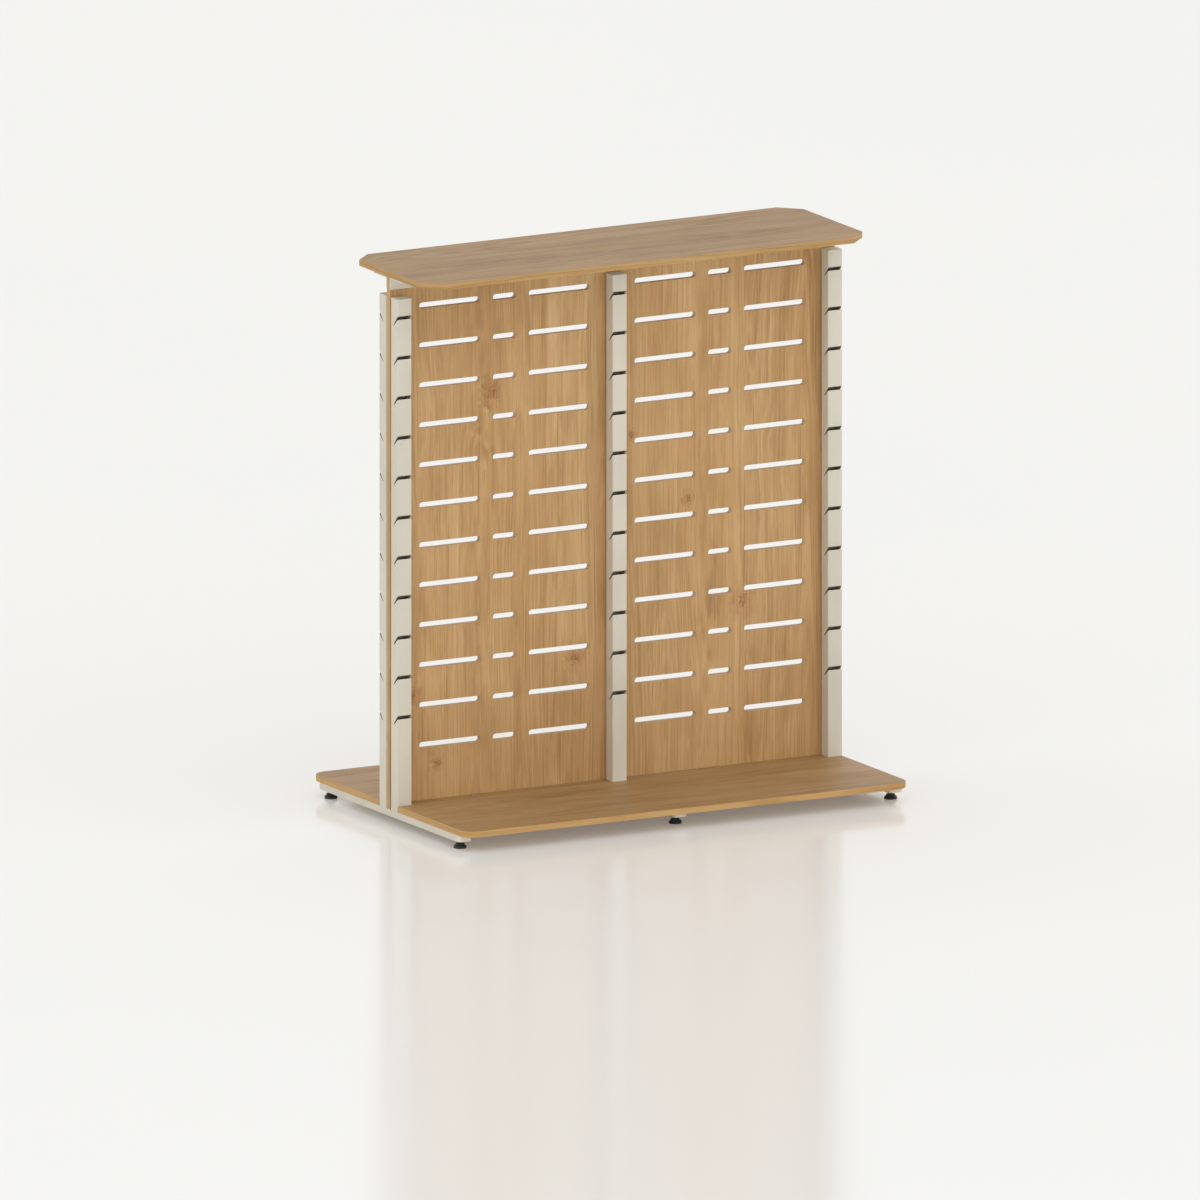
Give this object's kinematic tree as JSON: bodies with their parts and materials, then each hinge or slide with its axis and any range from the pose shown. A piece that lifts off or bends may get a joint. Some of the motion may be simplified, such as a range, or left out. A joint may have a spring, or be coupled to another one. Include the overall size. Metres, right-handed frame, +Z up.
{
  "type": "double-sided display stand",
  "caption": "Free-standing double-sided shop display: slotted oak-look panels between notched posts, top board, base shelves and levelling feet.",
  "frame": {"origin": "on the floor, below the middle of the stand, with all feet at mid height", "axes": "+X along the stand's length, +Y from the front to the back, +Z up"},
  "size_m": [1.24, 0.8, 1.383],
  "materials": {
    "oak_board": "satin oak-look foil",
    "oak_edge": "satin oak-look edge band",
    "powder_coat": "matt beige powder coat",
    "beige_plastic": "matt beige",
    "black_plastic": "matt black",
    "black_steel": "blackened steel",
    "zinc_steel": "zinc plated"
  },
  "bodies": {
    "frame": {"back_base_shelf": "oak_board", "back_base_shelf_edge_band": "oak_edge", "back_top_rail": "powder_coat", "base_shelf_screws": "zinc_steel", "foot_nuts": "zinc_steel", "front_base_shelf": "oak_board", "front_base_shelf_edge_band": "oak_edge", "front_top_rail": "powder_coat", "left_back_bar_end_cap": "beige_plastic", "left_back_post": "powder_coat", "left_back_post_cap": "beige_plastic", "left_back_spacer_strip": "beige_plastic", "left_foot_bar": "powder_coat", "left_front_bar_end_cap": "beige_plastic", "left_front_post": "powder_coat", "left_front_post_cap": "beige_plastic", "left_front_spacer_strip": "beige_plastic", "left_panel": "oak_board", "left_panel_edge_band": "oak_edge", "middle_back_bar_end_cap": "beige_plastic", "middle_back_post": "powder_coat", "middle_back_post_cap": "beige_plastic", "middle_back_spacer_strip": "beige_plastic", "middle_foot_bar": "powder_coat", "middle_front_bar_end_cap": "beige_plastic", "middle_front_post": "powder_coat", "middle_front_post_cap": "beige_plastic", "middle_front_spacer_strip": "beige_plastic", "rail_bolts": "zinc_steel", "rail_nuts": "zinc_steel", "right_back_bar_end_cap": "beige_plastic", "right_back_post": "powder_coat", "right_back_post_cap": "beige_plastic", "right_back_spacer_strip": "beige_plastic", "right_foot_bar": "powder_coat", "right_front_bar_end_cap": "beige_plastic", "right_front_post": "powder_coat", "right_front_post_cap": "beige_plastic", "right_front_spacer_strip": "beige_plastic", "right_panel": "oak_board", "right_panel_edge_band": "oak_edge", "top_board": "oak_board", "top_board_edge_band": "oak_edge", "top_board_screws": "zinc_steel"},
    "left_front_pad": {"left_front_foot_pad": "black_plastic"},
    "left_front_stud": {"left_front_foot_stud": "black_steel"},
    "left_back_pad": {"left_back_foot_pad": "black_plastic"},
    "left_back_stud": {"left_back_foot_stud": "black_steel"},
    "middle_front_pad": {"middle_front_foot_pad": "black_plastic"},
    "middle_front_stud": {"middle_front_foot_stud": "black_steel"},
    "middle_back_pad": {"middle_back_foot_pad": "black_plastic"},
    "middle_back_stud": {"middle_back_foot_stud": "black_steel"},
    "right_front_pad": {"right_front_foot_pad": "black_plastic"},
    "right_front_stud": {"right_front_foot_stud": "black_steel"},
    "right_back_pad": {"right_back_foot_pad": "black_plastic"},
    "right_back_stud": {"right_back_foot_stud": "black_steel"}
  },
  "joints": [
    {"name": "left_front_foot_height", "type": "slide", "parent": "frame", "child": "left_front_pad", "axis": [0, 0, 1], "range_m": [-0.00375, 0.00375]},
    {"name": "left_front_foot_turn", "type": "hinge", "parent": "left_front_pad", "child": "left_front_stud", "pos_m": [-0.6, -0.33, 0.0075], "axis": [0, 0, 1], "range_deg": [-1080, 1080]},
    {"name": "left_back_foot_height", "type": "slide", "parent": "frame", "child": "left_back_pad", "axis": [0, 0, 1], "range_m": [-0.00375, 0.00375]},
    {"name": "left_back_foot_turn", "type": "hinge", "parent": "left_back_pad", "child": "left_back_stud", "pos_m": [-0.6, 0.33, 0.0075], "axis": [0, 0, 1], "range_deg": [-1080, 1080]},
    {"name": "middle_front_foot_height", "type": "slide", "parent": "frame", "child": "middle_front_pad", "axis": [0, 0, 1], "range_m": [-0.00375, 0.00375]},
    {"name": "middle_front_foot_turn", "type": "hinge", "parent": "middle_front_pad", "child": "middle_front_stud", "pos_m": [0, -0.33, 0.0075], "axis": [0, 0, 1], "range_deg": [-1080, 1080]},
    {"name": "middle_back_foot_height", "type": "slide", "parent": "frame", "child": "middle_back_pad", "axis": [0, 0, 1], "range_m": [-0.00375, 0.00375]},
    {"name": "middle_back_foot_turn", "type": "hinge", "parent": "middle_back_pad", "child": "middle_back_stud", "pos_m": [0, 0.33, 0.0075], "axis": [0, 0, 1], "range_deg": [-1080, 1080]},
    {"name": "right_front_foot_height", "type": "slide", "parent": "frame", "child": "right_front_pad", "axis": [0, 0, 1], "range_m": [-0.00375, 0.00375]},
    {"name": "right_front_foot_turn", "type": "hinge", "parent": "right_front_pad", "child": "right_front_stud", "pos_m": [0.6, -0.33, 0.0075], "axis": [0, 0, 1], "range_deg": [-1080, 1080]},
    {"name": "right_back_foot_height", "type": "slide", "parent": "frame", "child": "right_back_pad", "axis": [0, 0, 1], "range_m": [-0.00375, 0.00375]},
    {"name": "right_back_foot_turn", "type": "hinge", "parent": "right_back_pad", "child": "right_back_stud", "pos_m": [0.6, 0.33, 0.0075], "axis": [0, 0, 1], "range_deg": [-1080, 1080]}
  ],
  "couplings": [
    {"joint": "left_front_foot_turn", "follows": "left_front_foot_height", "rad_per_m": 5026.5},
    {"joint": "left_back_foot_turn", "follows": "left_back_foot_height", "rad_per_m": 5026.5},
    {"joint": "middle_front_foot_turn", "follows": "middle_front_foot_height", "rad_per_m": 5026.5},
    {"joint": "middle_back_foot_turn", "follows": "middle_back_foot_height", "rad_per_m": 5026.5},
    {"joint": "right_front_foot_turn", "follows": "right_front_foot_height", "rad_per_m": 5026.5},
    {"joint": "right_back_foot_turn", "follows": "right_back_foot_height", "rad_per_m": 5026.5}
  ]
}
